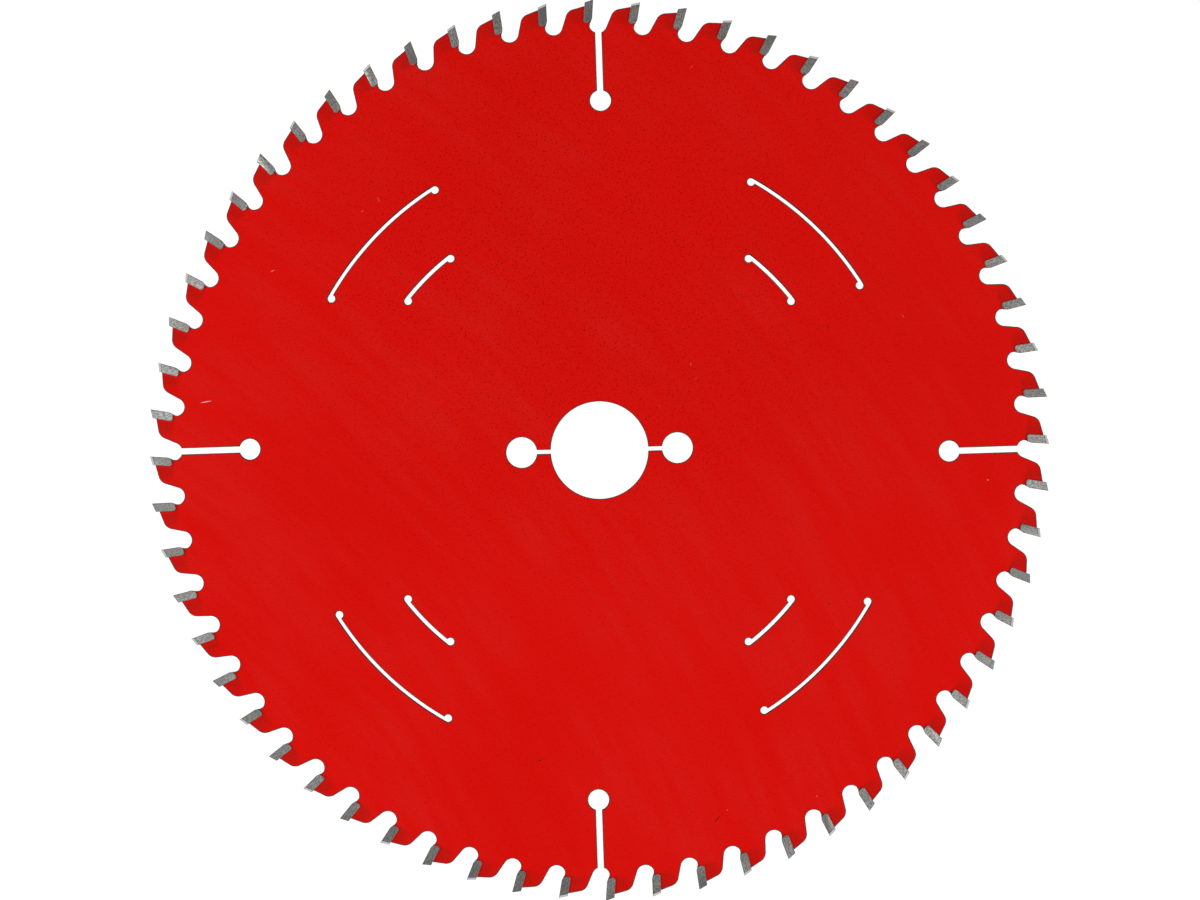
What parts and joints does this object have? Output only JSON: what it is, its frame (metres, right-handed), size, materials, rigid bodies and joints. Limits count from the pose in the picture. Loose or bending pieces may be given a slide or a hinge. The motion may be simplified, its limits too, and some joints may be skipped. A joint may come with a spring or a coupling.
{
  "type": "tct circular saw blade",
  "caption": "Flat steel circular saw blade, lacquered red, with alternately bevelled carbide tips brazed round the rim, expansion slots, damping slots and drive pin holes.",
  "frame": {"origin": "centre of the arbor bore, halfway through the plate", "axes": "+Z along the arbor's axis, +X through the first expansion slot's hole. Seen from +Z the blade cuts clockwise"},
  "size_m": [0.185, 0.185, 0.0026],
  "materials": {
    "red_lacquer": "satin",
    "carbide": "satin"
  },
  "bodies": {
    "root": {"plate": "red_lacquer", "tip_pair_01": "carbide", "tip_pair_02": "carbide", "tip_pair_03": "carbide", "tip_pair_04": "carbide", "tip_pair_05": "carbide", "tip_pair_06": "carbide", "tip_pair_07": "carbide", "tip_pair_08": "carbide", "tip_pair_09": "carbide", "tip_pair_10": "carbide", "tip_pair_11": "carbide", "tip_pair_12": "carbide", "tip_pair_13": "carbide", "tip_pair_14": "carbide", "tip_pair_15": "carbide", "tip_pair_16": "carbide", "tip_pair_17": "carbide", "tip_pair_18": "carbide", "tip_pair_19": "carbide", "tip_pair_20": "carbide", "tip_pair_21": "carbide", "tip_pair_22": "carbide", "tip_pair_23": "carbide", "tip_pair_24": "carbide", "tip_pair_25": "carbide", "tip_pair_26": "carbide", "tip_pair_27": "carbide", "tip_pair_28": "carbide", "tip_pair_29": "carbide", "tip_pair_30": "carbide"}
  },
  "joints": []
}
